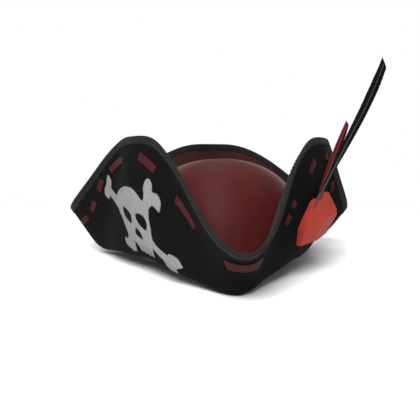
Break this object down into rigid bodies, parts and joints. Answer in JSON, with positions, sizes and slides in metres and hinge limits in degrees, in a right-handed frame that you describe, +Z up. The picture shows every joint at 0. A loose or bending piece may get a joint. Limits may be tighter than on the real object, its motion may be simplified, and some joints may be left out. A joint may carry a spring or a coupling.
{
  "type": "pirate hat",
  "caption": "Tricorn pirate hat with a red domed crown, black turned-up felt brim, skull emblem, lacing, a faceted gem and pull-out plumes.",
  "frame": {"origin": "centre of the head opening, at the lower edge of the sweatband", "axes": "+Z up through the top of the crown; -Y towards the front panel with the emblem; +X towards the wearer's left, the side that carries the gem"},
  "size_m": [0.372, 0.3346, 0.2477],
  "materials": {
    "felt_black": "matte wool felt",
    "facing_maroon": "matte woven cotton",
    "crown_red": "satin weave with a soft sheen",
    "foundation_buckram": "open stiffened weave",
    "lining_black": "plain lining cloth",
    "sweatband_leather": "satin grained",
    "reed_plastic": "matte",
    "wire_steel": "drawn",
    "binding_black": "ribbed ribbon",
    "lace_red": "flat braided lace",
    "patch_grey": "brushed felt",
    "gem_red": "semi-gloss moulded",
    "backing_black": "matte moulded",
    "post_brass": "turned",
    "plume_black": "feather barbs",
    "quill_black": "satin quill",
    "plume_red": "feather barbs",
    "quill_red": "satin quill"
  },
  "bodies": {
    "hat": {"crown_cover": "crown_red", "crown_foundation": "foundation_buckram", "crown_lining": "lining_black", "sweatband": "sweatband_leather", "sweatband_reed": "reed_plastic", "brim_felt": "felt_black", "brim_facing": "facing_maroon", "rim_wire": "wire_steel", "edge_binding": "binding_black", "front_lacing": "lace_red", "right_lacing": "lace_red", "left_lacing": "lace_red", "skull_patch": "patch_grey", "crossbone_patches": "patch_grey", "gem": "gem_red", "gem_backing": "backing_black", "plume_socket": "gem_red", "ornament_post": "post_brass", "ornament_washer": "post_brass", "ornament_nut": "post_brass"},
    "black_plume": {"black_quill": "quill_black", "black_vane": "plume_black"},
    "red_plume": {"red_quill": "quill_red", "red_vane": "plume_red"}
  },
  "joints": [
    {"name": "black_plume_pull", "type": "slide", "parent": "hat", "child": "black_plume", "axis": [-0.189, 0.7053, 0.6833], "range_m": [0, 0.01]},
    {"name": "red_plume_pull", "type": "slide", "parent": "hat", "child": "red_plume", "axis": [-0.1636, 0.6105, 0.7749], "range_m": [0, 0.01]}
  ]
}
